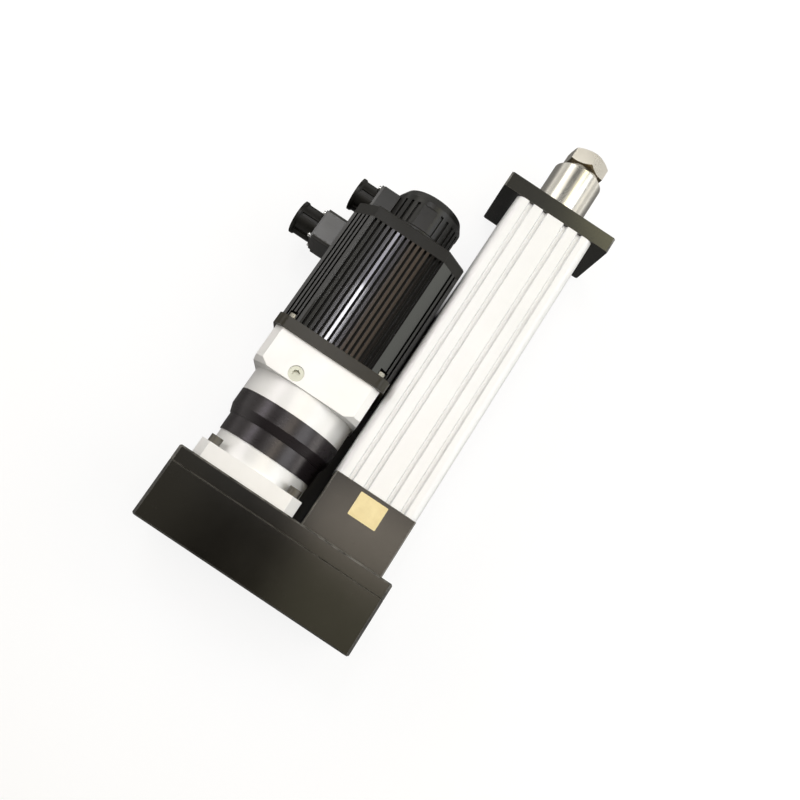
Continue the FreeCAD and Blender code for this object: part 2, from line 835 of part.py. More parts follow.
def makeBeltHousing():
    shape = rectangle(housingHalf, s.housingHeight / 2, s.housingCorner, housingMiddle)
    coverHoles = [(y, z, clearHole("smallScrew")) for y, z in coverScrewPlaces()]
    blockPlaces = square(s.barrelScrewSpacing)
    blockHoles = [(y, z, clearHole("mediumScrew")) for y, z in blockPlaces]
    gearPlaces = [(motorAxis + y, z) for y, z in square(s.gearBoltSpacing)]
    gearHoles = [(y, z, clearHole("largeScrew")) for y, z in gearPlaces]
    shafts = [(0, 0, s.shaftHole), (motorAxis, 0, s.shaftHole)]
    plate = prism("BeltBasePlate", plateRear, s.basePlate, shape,
                  coverHoles + blockHoles + gearHoles + shafts)
    sinks = [(y, z, screwSize("mediumScrew", "Head") + 2 * s.looseFit) for y, z in blockPlaces]
    bore(plate, plateRear, s.basePlate / 2, sinks)
    chamferFace(plate, blockRear, s.housingCorner / 2)
    chamferFace(plate, plateRear, s.seamEdge)
    keep(plate, "belt_base_plate")
    cover = prism("BeltCover", coverRear, s.coverDepth, shape, coverHoles)
    sketch = newSketch(cover, "YZ_Plane", plateRear)
    outline(sketch, rectangle(housingHalf - s.coverWall, s.housingHeight / 2 - s.coverWall,
                              s.coverBoss - s.coverWall, housingMiddle))
    pocket(cover, sketch, s.coverDepth - s.coverWall)
    sinks = [(y, z, screwSize("smallScrew", "Head") + 2 * s.looseFit) for y, z in coverScrewPlaces()]
    bore(cover, coverRear, screwSize("smallScrew", "HeadLength"), sinks)
    chamferFace(cover, coverRear, s.housingCorner / 2)
    chamferFace(cover, plateRear, s.seamEdge)
    keep(cover, "belt_cover")
    reach = s.coverDepth - screwSize("smallScrew", "HeadLength") + s.basePlate - s.screwRelief
    screws("belt_cover_screws", "smallScrew", coverRear + screwSize("smallScrew", "HeadLength"), reach,
           coverScrewPlaces(), headForward=False)


makePulley("driven_pulley", "DrivenPulley", s.screwJournal, 0)
makePulley("drive_pulley", "DrivePulley", s.outputShaft, motorAxis)
makeBelt()
makeBeltHousing()


# Planetary gearbox

def involuteHalfAngle(pitchRadius, halfAngle, radius):
    """Half the angle that a tooth fills at a radius, on a 20 degree involute."""
    pressure = math.radians(20)
    base = pitchRadius * math.cos(pressure)
    there = math.acos(min(1.0, base / radius))
    return halfAngle + (math.tan(pressure) - pressure) - (math.tan(there) - there)


def gearOutline(teeth, lowest, highest, halfAngle, turn):
    """Teeth of a gear, or the spaces of a ring, between two radii."""
    pitchRadius = teeth * s.gearModule.number / 2
    steps = [lowest + (highest - lowest) * n / 3 for n in range(4)]
    points = []
    for tooth in range(teeth):
        middle = turn + tooth * 2 * math.pi / teeth
        angles = [involuteHalfAngle(pitchRadius, halfAngle, radius) for radius in steps]
        points += [(middle - angle, radius) for angle, radius in zip(angles, steps)]
        points += [(middle + angle, radius) for angle, radius in zip(reversed(angles), reversed(steps))]
    return points


gearRear = bossTop + s.carrierDisc + s.planetGap + s.looseFit
gearFront = gearRear + s.gearWidth
planetReach = (sunTeeth + planetTeeth) * s.gearModule / 2


def externalGear(name, teeth, start, width, hole, turn, axis):
    pitchRadius = teeth * s.gearModule.number / 2
    halfAngle = math.pi / (2 * teeth) - s.gearBacklash.number / (2 * pitchRadius)
    lowest = pitchRadius - 1.25 * s.gearModule.number
    highest = pitchRadius + s.gearModule.number
    return toothedDisc(name, start, width, hole, gearOutline(teeth, lowest, highest, halfAngle, turn), axis)


def makeRingGear():
    lower = s.ringDiameter / 2
    upper = s.ringShoulder / 2
    step = bossTop + s.ringStepStart
    rim = lower + s.ringLedge
    tipRadius = (ringTeeth / 2 - 1) * s.gearModule
    bodyPoints = [(bossTop, tipRadius), (bossTop, lower), (step, lower), (step, rim),
                  (step + s.ringStepLength, upper), (ringTop, upper), (ringTop, tipRadius)]
    ring = turned("RingGearBlank", bodyPoints, motorAxis)
    pitchRadius = ringTeeth * s.gearModule.number / 2
    halfAngle = math.pi / (2 * ringTeeth) + s.gearBacklash.number / (2 * pitchRadius)
    lowest = tipRadius.number - 0.5
    highest = pitchRadius + 1.25 * s.gearModule.number
    spaces = toothedDisc("RingGearSpaces", bossTop, s.ringLength, s.clampBore,
                         gearOutline(ringTeeth, lowest, highest, halfAngle, 0), motorAxis)
    cut("ring_gear", ring, spaces)


def makePlanets():
    angles = [360 / planetCount * number for number in range(planetCount)]
    pins = []
    carrierHoles = []
    for number, angle in enumerate(angles, start=1):
        across = math.cos(math.radians(angle))
        up = math.sin(math.radians(angle))
        toothTurn = math.radians(angle)
        hole = s.pinDiameter + 2 * s.runningFit
        gear = externalGear(f"PlanetGear{number}", planetTeeth, gearRear, s.gearWidth, hole, toothTurn, 0)
        gear.Placement.Base = FreeCAD.Vector(0, (motorAxis + planetReach * across).number,
                                             (planetReach * up).number)
        keep(gear, f"planet_gear_{number}")
        radius = s.pinDiameter / 2
        head = gearFront + s.looseFit
        pinBody = turned(f"PlanetPin{number}", [
            (bossTop + s.looseFit, 0), (bossTop + s.looseFit, radius), (head, radius), (head, s.pinHead / 2),
            (head + s.pinHeadLength, s.pinHead / 2), (head + s.pinHeadLength, 0)])
        bind(pinBody, "Placement.Base.y", motorAxis + planetReach * across)
        bind(pinBody, "Placement.Base.z", planetReach * up)
        pins.append(pinBody)
        carrierHoles.append((planetReach * across, planetReach * up, s.pinDiameter))
    group("planet_pins", pins)
    return carrierHoles


def makeCarrier(holes):
    shaft = s.outputShaft / 2
    journal = s.outputBearingInner / 2
    tail = beltMiddle - pulleyHalf - s.pulleyFlange
    discRadius = planetReach + s.pinHead / 2 + s.carrierRim
    discStart = bossTop + s.looseFit
    discEnd = bossTop + s.carrierDisc
    points = [(tail, 0), (tail, shaft), (blockRear, shaft), (blockRear, journal), (discStart, journal),
              (discStart, discRadius), (discEnd, discRadius), (discEnd, 0)]
    carrier = turned("PlanetCarrier", points, motorAxis)
    bore(carrier, discStart, s.carrierDisc, holes)
    keep(carrier, "planet_carrier")


def makeGearHousings():
    plateHoles = [(y, z, clearHole("largeScrew")) for y, z in square(s.gearBoltSpacing)]
    flange = prism("GearboxFlange", blockRear, s.gearPlate,
                   rectangle(s.gearPlateWidth / 2, s.gearPlateWidth / 2, s.gearPlateCorner), plateHoles,
                   motorAxis)
    sketch = newSketch(flange, "YZ_Plane", gearPlateTop)
    circle(sketch, 0, 0, s.bossDiameter)
    pad(flange, sketch, s.bossLength)
    bore(flange, blockRear, s.gearPlate + s.bossLength, [(0, 0, s.outputBearingOuter)])
    keep(flange, "gearbox_flange")
    screws("gearbox_flange_screws", "largeScrew", gearPlateTop, s.gearPlate + s.basePlate / 2,
           square(s.gearBoltSpacing), motorAxis)
    seal = ringSection(blockRear, blockRear + s.outputSealWidth,
                       s.outputBearingInner + 2 * s.runningFit, s.outputBearingOuter)
    keep(turned("OutputSeal", seal, motorAxis), "output_seal")
    outer = []
    inner = []
    for number in range(2):
        start = bossTop - (2 - number) * s.outputBearingWidth
        end = start + s.outputBearingWidth
        outerSection = ringSection(start, end, s.outputBearingSplit + 2 * s.runningFit, s.outputBearingOuter)
        innerSection = ringSection(start, end, s.outputBearingInner, s.outputBearingSplit)
        outer.append(turned(f"OutputOuterRing{number}", outerSection, motorAxis))
        inner.append(turned(f"OutputInnerRing{number}", innerSection, motorAxis))
    group("output_bearing_outer_rings", outer)
    group("output_bearing_inner_rings", inner)
    webHole = (sunTeeth + 2) * s.gearModule + 2 * s.sunClearance
    webTop = ringTop + s.inputWeb
    housing = [(ringTop, webHole / 2), (ringTop, s.inputDiameter / 2), (inputTop, s.inputDiameter / 2),
               (inputTop, s.clampBore / 2), (webTop, s.clampBore / 2), (webTop, webHole / 2)]
    keep(turned("GearboxInputHousing", housing, motorAxis), "gearbox_input_housing")


def makeAdapter():
    half = adapterWidth / 2
    adapter = prism("MotorAdapterBlank", inputTop, s.adapterLength, rectangle(half, half, s.adapterCorner),
                    [(0, 0, s.clampBore)], motorAxis)
    pilotDepth = s.motorPilotLength + s.looseFit
    bore(adapter, adapterTop, pilotDepth, [(0, 0, motorPilot + 2 * s.runningFit)], False)
    boltHoles = [(y, z, clearHole("mediumScrew")) for y, z in square(motorBoltSpacing)]
    bore(adapter, adapterTop, s.motorScrewGrip + s.screwRelief, boltHoles, False)
    foot = (adapterWidth - s.adapterCorner) / math.sqrt(2) - s.adapterCut
    taperTop = inputTop + s.adapterTaper
    widest = adapterWidth
    cone = turned("MotorAdapterTaper", [
        (inputTop, 0), (inputTop, foot), (taperTop, foot + s.adapterTaper), (taperTop, widest),
        (adapterTop, widest), (adapterTop, 0)], motorAxis)
    tapered = document.addObject("Part::Common", "MotorAdapterTapered")
    tapered.Base = adapter
    tapered.Tool = cone
    plugX = inputTop + s.plugRise
    plugY = motorAxis + s.plugOffset
    hole = cylinder("PlugHole", alongZ, s.plugDiameter, half, (plugX, plugY, s.clampBore / 4))
    cut("motor_adapter", tapered, hole)
    plugTop = half - s.plugRecess
    plug = cylinder("PlugBlank", alongZ, s.plugDiameter, s.plugLength, (plugX, plugY, plugTop - s.plugLength))
    key = document.addObject("Part::Prism", "PlugKey")
    key.Polygon = 6
    bind(key, "Circumradius", s.plugDiameter / 4)
    bind(key, "Height", s.plugLength)
    for letter, size in zip("xyz", (plugX, plugY, plugTop - s.plugLength / 2)):
        bind(key, "Placement.Base." + letter, size)
    cut("access_plug", plug, key)


def makeSun():
    hubRear = ringTop + s.inputWeb + 2 * s.looseFit
    hubFront = hubRear + s.hubLength
    gear = externalGear("SunTeeth", sunTeeth, gearRear, s.gearWidth, s.sunCore, 0, motorAxis)
    core = s.sunCore / 2
    neck = (sunTeeth / 2 - 1.25) * s.gearModule
    shaft = s.motorShaft / 2
    hubBack = hubRear + s.hubLength / 3
    hub = turned("SunHub", [(gearRear, 0), (gearRear, core), (gearFront, core), (gearFront, neck),
                            (hubRear, neck), (hubRear, s.hubDiameter / 2), (hubFront, s.hubDiameter / 2),
                            (hubFront, shaft), (hubBack, shaft), (hubBack, 0)], motorAxis)
    fuse = document.addObject("Part::Fuse", "SunGear")
    fuse.Base = hub
    fuse.Tool = gear
    keep(fuse, "sun_gear")
    return hubBack


makeRingGear()
makeCarrier(makePlanets())
makeGearHousings()
makeAdapter()
shaftTip = makeSun()


# Servo motor

bearingEnd = motorFlangeTop + s.bearingBossLength
frontBearing = bearingEnd - s.motorBearingWidth
rearBearing = motorTop - s.bearingBossLength
statorStart = bearingEnd + s.windingLength + s.windingGap
statorEnd = motorTop - s.bearingBossLength - s.windingLength - s.windingGap


def makeMotorFlange():
    holes = [(y, z, clearHole("mediumScrew")) for y, z in square(motorBoltSpacing)]
    flange = prism("MotorFlange", adapterTop, s.motorFlange, square(motorFlangeWidth), holes, motorAxis)
    pilot = newSketch(flange, "YZ_Plane", adapterTop - s.motorPilotLength)
    circle(pilot, 0, 0, motorPilot)
    pad(flange, pilot, s.motorPilotLength)
    boss = newSketch(flange, "YZ_Plane", motorFlangeTop)
    circle(boss, 0, 0, motorBore - 2 * s.runningFit)
    pad(flange, boss, s.bearingBossLength)
    through = s.motorPilotLength + s.motorFlange + s.bearingBossLength
    bore(flange, adapterTop - s.motorPilotLength, through, [(0, 0, s.frontBearingSplit - 2 * s.bearingShoulder)])
    bore(flange, bearingEnd, s.motorBearingWidth, [(0, 0, s.frontBearingOuter)], False)
    roundCorners(flange, motorFlangeWidth, s.motorFlangeCorner)
    keep(flange, "motor_flange")
    screws("motor_flange_screws", "mediumScrew", motorFlangeTop, s.motorFlange + s.motorScrewGrip,
           square(motorBoltSpacing), motorAxis)


def finCount():
    flat = s.motorWidth.number - 2 * s.motorCorner.number - s.finPitch.number
    return int(flat // s.finPitch.number) + 1


def makeMotorHousing():
    half = s.motorWidth / 2
    housing = prism("MotorHousing", motorFlangeTop, s.motorLength, rectangle(half, half, s.motorCorner),
                    [(0, 0, motorBore)], motorAxis)
    spread = s.finPitch * (finCount() - 1)
    first = -spread / 2
    floor = half - s.finDepth
    for axis in ("H_Axis", "V_Axis"):
        sketch = newSketch(housing, "YZ_Plane", motorFlangeTop)
        for side in (1, -1):
            low = side * floor
            high = side * (half + 1)
            corners = [(first - s.finGroove / 2, low), (first + s.finGroove / 2, low),
                       (first + s.finGroove / 2, high), (first - s.finGroove / 2, high)]
            if axis == "V_Axis":
                corners = [(v, u) for u, v in corners]
            outline(sketch, corners)
        groove = pocket(housing, sketch, s.motorLength, True)
        pattern(housing, groove, sketch, axis, spread, finCount())
    corner = newSketch(housing, "YZ_Plane", motorFlangeTop)
    crest = (s.motorWidth - s.motorCorner) / math.sqrt(2)
    bottom = crest - s.cornerFinDepth
    for angle, places in cornerGrooves.items():
        for aside in places:
            outline(corner, radialSlot(angle, bottom, crest + s.finDepth, s.finGroove, aside * s.finPitch))
    pocket(housing, corner, s.motorLength, True)
    scoops = [(y, z, s.scoopDiameter) for y, z in square(motorBoltSpacing)]
    bore(housing, motorFlangeTop, s.scoopLength, scoops)
    keep(housing, "motor_housing")


def makeMotorInside():
    outer = []
    inner = []
    places = ((frontBearing, s.frontBearingInner, s.frontBearingSplit, s.frontBearingOuter),
              (rearBearing, s.rearBearingInner, s.rearBearingSplit, s.rearBearingOuter))
    for number, (start, innerSize, split, outerSize) in enumerate(places):
        end = start + s.motorBearingWidth
        outerSection = ringSection(start, end, split + 2 * s.runningFit, outerSize)
        outer.append(turned(f"MotorOuterRing{number}", outerSection, motorAxis))
        inner.append(turned(f"MotorInnerRing{number}", ringSection(start, end, innerSize, split), motorAxis))
    group("motor_bearing_outer_rings", outer)
    group("motor_bearing_inner_rings", inner)
    core = ringSection(statorStart, statorEnd, statorBore, motorBore)
    keep(turned("StatorCore", core, motorAxis), "stator_core")
    windings = []
    for number, start in enumerate((statorStart - s.windingLength, statorEnd)):
        section = ringSection(start, start + s.windingLength, statorBore + 2 * s.windingInset,
                              motorBore - 2 * s.windingInset)
        windings.append(turned(f"StatorWinding{number}", section, motorAxis))
    group("stator_windings", windings)
    magnets = ringSection(statorStart, statorEnd, rotorCore, rotorDiameter)
    keep(turned("RotorMagnets", magnets, motorAxis), "rotor_magnets")
    discEnd = rearTop + s.encoderDiscRise + s.encoderDisc
    front = s.frontBearingInner / 2
    rear = s.rearBearingInner / 2
    stub = s.encoderStub / 2
    shaft = [(shaftTip, 0), (shaftTip, s.motorShaft / 2), (frontBearing, s.motorShaft / 2),
             (frontBearing, front), (statorStart, front), (statorStart, rotorCore / 2),
             (statorEnd, rotorCore / 2), (statorEnd, front), (rearBearing, front), (rearBearing, rear),
             (rearBearing + s.motorBearingWidth, rear), (rearBearing + s.motorBearingWidth, stub),
             (discEnd, stub), (discEnd, 0)]
    keep(turned("RotorShaft", shaft, motorAxis), "rotor_shaft")
    disc = ringSection(discEnd - s.encoderDisc, discEnd, 2 * stub, s.encoderDiscDiameter)
    keep(turned("EncoderDisc", disc, motorAxis), "encoder_disc")
    bodyOuter = s.encoderBodyDiameter / 2
    bodyInner = bodyOuter - s.encoderBodyWall
    lid = discEnd + s.encoderBodyGap
    lidTop = lid + s.encoderBodyWall
    cup = [(rearTop, bodyInner), (rearTop, bodyOuter), (lidTop, bodyOuter), (lidTop, 0), (lid, 0),
           (lid, bodyInner)]
    keep(turned("EncoderBody", cup, motorAxis), "encoder_body")


def makeMotorRear():
    half = s.motorWidth / 2
    plate = prism("MotorRearPlate", motorTop, s.rearPlate, rectangle(half, half, s.motorCorner), (), motorAxis)
    boss = newSketch(plate, "YZ_Plane", rearBearing)
    circle(boss, 0, 0, motorBore - 2 * s.runningFit)
    pad(plate, boss, s.bearingBossLength)
    bore(plate, rearBearing, s.motorBearingWidth, [(0, 0, s.rearBearingOuter)])
    bore(plate, rearBearing, s.bearingBossLength + s.rearPlate, [(0, 0, s.encoderStub + 2 * s.bearingShoulder)])
    chamferFace(plate, rearTop, s.rearPlateEdge)
    keep(plate, "motor_rear_plate")


def makeEncoderCover():
    outer = s.encoderDiameter / 2
    wall = s.encoderWall
    inner = outer - wall
    foot = outer + s.encoderFootStep
    footTop = rearTop + s.encoderFoot
    cover = turned("EncoderCoverShell", [
        (rearTop, inner), (rearTop, foot), (footTop - s.encoderFootStep, foot), (footTop, outer),
        (encoderTop - s.encoderTaper, outer),
        (encoderTop, outer - s.encoderTaperDepth), (encoderTop, 0), (encoderTop - wall, 0),
        (encoderTop - wall, inner - s.encoderTaperDepth), (encoderTop - s.encoderTaper - wall, inner)], motorAxis)
    openLength = s.encoderLength - s.encoderTaper - s.encoderFoot - s.encoderLip
    panels = newSketch(cover, "YZ_Plane", footTop)
    slots = newSketch(cover, "YZ_Plane", footTop)
    for middle in (90, 180, 270):
        outline(panels, radialSlot(middle, outer - s.panelDepth, outer + s.panelDepth, s.panelWidth))
        turns = [turn for turn in slotTurns if middle != 180 or turn + slotTurns[-1] < 90]
        for turn in turns:
            for angle in (middle - turn, middle + turn):
                outline(slots, radialSlot(angle, outer - s.slotDepth, outer + s.slotDepth, s.panelSlot))
    pocket(cover, panels, openLength, True)
    pocket(cover, slots, openLength, True)
    size = s.signalBoxSize
    top = outer + s.signalBoxRise
    pedestal = box("SignalBox", (size, top - inner, size),
                   (rearTop + s.signalGap, motorAxis + inner, -size / 2))
    fuse = document.addObject("Part::Fuse", "EncoderCover")
    fuse.Base = cover
    fuse.Tool = pedestal
    keep(fuse, "encoder_cover")


# Connectors: a box, a square shell and a dust cap, all along +Y

def makeConnector(name, shellLabel, capLabel, station, seat, capLength):
    half = s.connectorPlate / 2
    plate = box(name + "Plate", (s.connectorPlate, s.connectorPlateThickness, s.connectorPlate),
                (station - half, seat, -half))
    plateTop = seat + s.connectorPlateThickness
    shell = cylinder(name + "Shell", alongY, s.connectorShell, s.connectorShellLength, (station, plateTop, 0))
    fuse = document.addObject("Part::Fuse", name + "Solid")
    fuse.Base = plate
    fuse.Tool = shell
    hollow = cylinder(name + "Hollow", alongY, s.connectorShell - 2 * s.connectorWall,
                      s.connectorShellLength, (station, plateTop + s.connectorFloor, 0))
    cut(shellLabel, fuse, hollow)
    start = plateTop + s.looseFit
    end = start + capLength
    inner = s.connectorShell / 2 + s.looseFit
    outer = s.capDiameter / 2
    rim = s.capRim / 2
    floor = end - s.capWall
    cap = document.addObject("PartDesign::Body", name + "Cap")
    bind(cap, "Placement.Base.x", station)
    sketch = newSketch(cap, "XY_Plane", 0)
    outline(sketch, [(inner, start), (outer, start), (outer, end - s.capRimLength - s.capFlare),
                     (rim, end - s.capRimLength), (rim, end), (0, end), (0, floor), (inner, floor)])
    feature = cap.newObject("PartDesign::Revolution", name + "CapTurn")
    feature.Profile = sketch
    feature.ReferenceAxis = (sketch, ["V_Axis"])
    feature.Angle = 360
    slots = newSketch(cap, "XZ_Plane", -start)
    for number in range(6):
        outline(slots, radialSlot(60 * number + 30, outer - s.capSlotDepth, outer + s.capSlotDepth, s.capSlotWidth))
    pocket(cap, slots, capLength - s.capRimLength - s.capFlare)
    keep(cap, capLabel)
    spread = s.connectorPlate / 2 - s.connectorScrewInset
    return [cylinder(f"{name}Screw{number}", alongY, s.connectorScrewHead, s.connectorScrewRise,
                     (station + x * spread, plateTop, z * spread))
            for number, (x, z) in enumerate(((1, 1), (-1, 1), (-1, -1), (1, -1)))]


def makeConnectors():
    side = motorAxis + s.motorWidth / 2
    station = motorTop - s.powerInset
    length = s.powerBoxLength
    blank = box("PowerBoxBlank", (length, s.powerBoxRise, s.powerBoxWidth),
                (station - length / 2, side, -s.powerBoxWidth / 2))
    document.recompute()
    upright = edgesIn(blank.Shape, lambda edge: abs(edge.tangentAt(edge.FirstParameter).y) > 0.9)
    rounded = document.addObject("Part::Fillet", "PowerBox")
    rounded.Base = blank
    corner = s.powerBoxCorner.number
    rounded.Edges = [(int(name[4:]), corner, corner) for name in upright]
    keep(rounded, "power_connector_box")
    items = makeConnector("Power", "power_connector_shell", "power_connector_cap", station,
                          side + s.powerBoxRise, s.powerCapLength)
    seat = motorAxis + s.encoderDiameter / 2 + s.signalBoxRise
    items += makeConnector("Signal", "encoder_connector_shell", "encoder_connector_cap",
                           rearTop + s.signalGap + s.signalBoxSize / 2, seat, s.signalCapLength)
    group("connector_screws", items)


makeMotorFlange()
makeMotorHousing()
makeMotorInside()
makeMotorRear()
makeEncoderCover()
makeConnectors()


# Build, check and write

document.recompute()
faults = [item.Name for item in document.Objects if {"Invalid", "Error"} & set(item.State)]
faults += [node.Label for node in nodes if node.Shape.isNull() or not node.Shape.isValid()]
if faults:
    raise SystemExit("failed: " + ", ".join(faults))
os.makedirs("parts", exist_ok=True)
for node in nodes:
    node.Shape.exportStep(f"parts/{node.Label}.step")
    print(node.Label, len(node.Shape.Solids), round(node.Shape.Volume))
print(len(nodes), "nodes")
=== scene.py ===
import json
import math

import bmesh
import bpy
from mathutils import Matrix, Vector


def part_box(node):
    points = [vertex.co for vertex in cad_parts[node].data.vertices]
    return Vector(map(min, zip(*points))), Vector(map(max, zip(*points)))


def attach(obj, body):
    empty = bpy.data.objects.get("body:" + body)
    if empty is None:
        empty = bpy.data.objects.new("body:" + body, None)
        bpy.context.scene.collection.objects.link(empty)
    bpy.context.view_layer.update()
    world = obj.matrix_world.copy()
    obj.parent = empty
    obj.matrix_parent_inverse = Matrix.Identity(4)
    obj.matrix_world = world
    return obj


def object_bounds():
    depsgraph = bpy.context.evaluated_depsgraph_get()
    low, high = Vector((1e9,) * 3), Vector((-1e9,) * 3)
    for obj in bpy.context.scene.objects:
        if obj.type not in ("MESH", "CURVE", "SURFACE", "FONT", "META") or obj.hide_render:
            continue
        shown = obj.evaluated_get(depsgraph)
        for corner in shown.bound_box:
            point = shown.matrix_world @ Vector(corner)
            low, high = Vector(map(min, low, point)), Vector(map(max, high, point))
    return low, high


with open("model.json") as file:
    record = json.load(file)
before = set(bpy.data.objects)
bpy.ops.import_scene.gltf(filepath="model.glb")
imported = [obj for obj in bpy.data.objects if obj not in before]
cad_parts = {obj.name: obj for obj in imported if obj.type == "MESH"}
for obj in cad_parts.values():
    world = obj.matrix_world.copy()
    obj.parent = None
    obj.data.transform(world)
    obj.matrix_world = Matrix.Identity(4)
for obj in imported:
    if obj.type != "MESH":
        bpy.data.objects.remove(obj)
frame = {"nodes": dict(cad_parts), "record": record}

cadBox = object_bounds()
nodes = frame["nodes"]
scene = bpy.context.scene
mm = 0.001
white = (1, 1, 1)


# node helpers

def addNode(tree, kind, **settings):
    node = tree.nodes.new(kind)
    for name, value in settings.items():
        setattr(node, name, value)
    return node


def link(tree, source, target):
    tree.links.new(source, target)


# a socket gets a link, anything else becomes the socket's own value
def feed(tree, value, socket):
    if isinstance(value, bpy.types.NodeSocket):
        link(tree, value, socket)
    else:
        socket.default_value = value


def newGroup(name, inputs, outputs):
    tree = bpy.data.node_groups.new(name, "ShaderNodeTree")
    for label, kind, value in inputs:
        socket = tree.interface.new_socket(label, in_out="INPUT", socket_type=kind)
        if value is not None:
            socket.default_value = value
    for label, kind in outputs:
        tree.interface.new_socket(label, in_out="OUTPUT", socket_type=kind)
    return tree, addNode(tree, "NodeGroupInput"), addNode(tree, "NodeGroupOutput")


def useGroup(tree, group, values):
    node = addNode(tree, "ShaderNodeGroup", node_tree=group)
    for label, value in values.items():
        feed(tree, value, node.inputs[label])
    return node


def maths(tree, operation, first, second=None):
    node = addNode(tree, "ShaderNodeMath", operation=operation)
    feed(tree, first, node.inputs[0])
    if second is not None:
        feed(tree, second, node.inputs[1])
    return node.outputs[0]


def splitAxes(tree, vector):
    node = addNode(tree, "ShaderNodeSeparateXYZ")
    link(tree, vector, node.inputs[0])
    return node.outputs


def noiseInto(tree, vector, scaleSocket, detail, roughness=0.5):
    noise = addNode(tree, "ShaderNodeTexNoise")
    noise.inputs["Detail"].default_value = detail
    noise.inputs["Roughness"].default_value = roughness
    link(tree, vector, noise.inputs["Vector"])
    link(tree, scaleSocket, noise.inputs["Scale"])
    return noise.outputs["Fac"]


def mapRange(tree, value, low, high, toLow=0.0, toHigh=1.0):
    node = addNode(tree, "ShaderNodeMapRange")
    link(tree, value, node.inputs["Value"])
    for socket, number in zip(("From Min", "From Max", "To Min", "To Max"), (low, high, toLow, toHigh)):
        node.inputs[socket].default_value = number
    return node.outputs["Result"]


# a Mix node names its sockets alike for every kind of value, so they go by number
mixSockets = {"RGBA": (6, 7, 2), "FLOAT": (2, 3, 0)}


def mixValues(tree, kind, factor, first, second):
    node = addNode(tree, "ShaderNodeMix", data_type=kind)
    firstSocket, secondSocket, result = mixSockets[kind]
    link(tree, factor, node.inputs["Factor"])
    feed(tree, first, node.inputs[firstSocket])
    feed(tree, second, node.inputs[secondSocket])
    return node.outputs[result]


def opaque(colour):
    return colour if isinstance(colour, bpy.types.NodeSocket) else (*colour, 1)


def mixColour(tree, factor, first, second):
    return mixValues(tree, "RGBA", factor, opaque(first), opaque(second))


# cloudy tone, fine grain and rare specks, for every finish
finishNoise = dict(cloudDetail=4, cloudRoughness=0.6, cloudRange=(0.32, 0.68), grainDetail=2,
                   speckDetail=1, speckRange=(0.70, 0.78))


def makeFinishGroup():
    tree, inside, outside = newGroup(
        "surfaceFinish",
        [("Vector", "NodeSocketVector", None), ("Cloud Scale", "NodeSocketFloat", 30.0),
         ("Grain Scale", "NodeSocketFloat", 1500.0), ("Speck Scale", "NodeSocketFloat", 260.0)],
        [("Cloud", "NodeSocketFloat"), ("Grain", "NodeSocketFloat"), ("Speck", "NodeSocketFloat")])
    vector = inside.outputs["Vector"]
    cloud = noiseInto(tree, vector, inside.outputs["Cloud Scale"], finishNoise["cloudDetail"],
                      finishNoise["cloudRoughness"])
    grain = noiseInto(tree, vector, inside.outputs["Grain Scale"], finishNoise["grainDetail"])
    speck = noiseInto(tree, vector, inside.outputs["Speck Scale"], finishNoise["speckDetail"])
    link(tree, mapRange(tree, cloud, *finishNoise["cloudRange"]), outside.inputs["Cloud"])
    link(tree, grain, outside.inputs["Grain"])
    link(tree, mapRange(tree, speck, *finishNoise["speckRange"]), outside.inputs["Speck"])
    return tree


# fine tool marks: the vector comes stretched along the way the tool went
toolMarks = dict(detail=3, roughness=0.7, range=(0.3, 0.7))


def makeToolMarkGroup():
    tree, inside, outside = newGroup(
        "toolMarks",
        [("Vector", "NodeSocketVector", None), ("Scale", "NodeSocketFloat", 900.0)],
        [("Marks", "NodeSocketFloat")])
    marks = noiseInto(tree, inside.outputs["Vector"], inside.outputs["Scale"], toolMarks["detail"],
                      toolMarks["roughness"])
    link(tree, mapRange(tree, marks, *toolMarks["range"]), outside.inputs["Marks"])
    return tree


# 1 at a sharp edge and 0 away from it, and a normal rounded over it
edgeBreak = dict(samples=4, agreement=(0.995, 0.80))  # how far the rounded normal agrees with the face's own


def makeEdgeGroup():
    tree, inside, outside = newGroup(
        "edgeBreak",
        [("Radius", "NodeSocketFloat", 0.5 * mm)],
        [("Edge", "NodeSocketFloat"), ("Normal", "NodeSocketVector")])
    bevel = addNode(tree, "ShaderNodeBevel", samples=edgeBreak["samples"])
    link(tree, inside.outputs["Radius"], bevel.inputs["Radius"])
    shape = addNode(tree, "ShaderNodeNewGeometry")
    dot = addNode(tree, "ShaderNodeVectorMath", operation="DOT_PRODUCT")
    link(tree, bevel.outputs["Normal"], dot.inputs[0])
    link(tree, shape.outputs["Normal"], dot.inputs[1])
    link(tree, mapRange(tree, dot.outputs["Value"], *edgeBreak["agreement"]), outside.inputs["Edge"])
    link(tree, bevel.outputs["Normal"], outside.inputs["Normal"])
    return tree


# how deep a point lies under the motor's eight-sided outside: 1 down in the fin grooves
motorSection = dict(axis=0.1145, half=0.0645, corner=0.022, shallow=0.6 * mm, deep=2.6 * mm)


def makeGrooveGroup():
    tree, inside, outside = newGroup(
        "finGrooves", [("Vector", "NodeSocketVector", None)], [("Groove", "NodeSocketFloat")])
    axes = splitAxes(tree, inside.outputs["Vector"])
    across = maths(tree, "ABSOLUTE", maths(tree, "SUBTRACT", axes["Y"], motorSection["axis"]))
    high = maths(tree, "ABSOLUTE", axes["Z"])
    slant = math.sqrt(0.5)
    crest = (2 * motorSection["half"] - motorSection["corner"]) * slant
    flat = maths(tree, "SUBTRACT", maths(tree, "MAXIMUM", across, high), motorSection["half"])
    along = maths(tree, "MULTIPLY", maths(tree, "ADD", across, high), slant)
    outer = maths(tree, "MAXIMUM", flat, maths(tree, "SUBTRACT", along, crest))
    groove = mapRange(tree, outer, -motorSection["shallow"], -motorSection["deep"])
    link(tree, groove, outside.inputs["Groove"])
    return tree


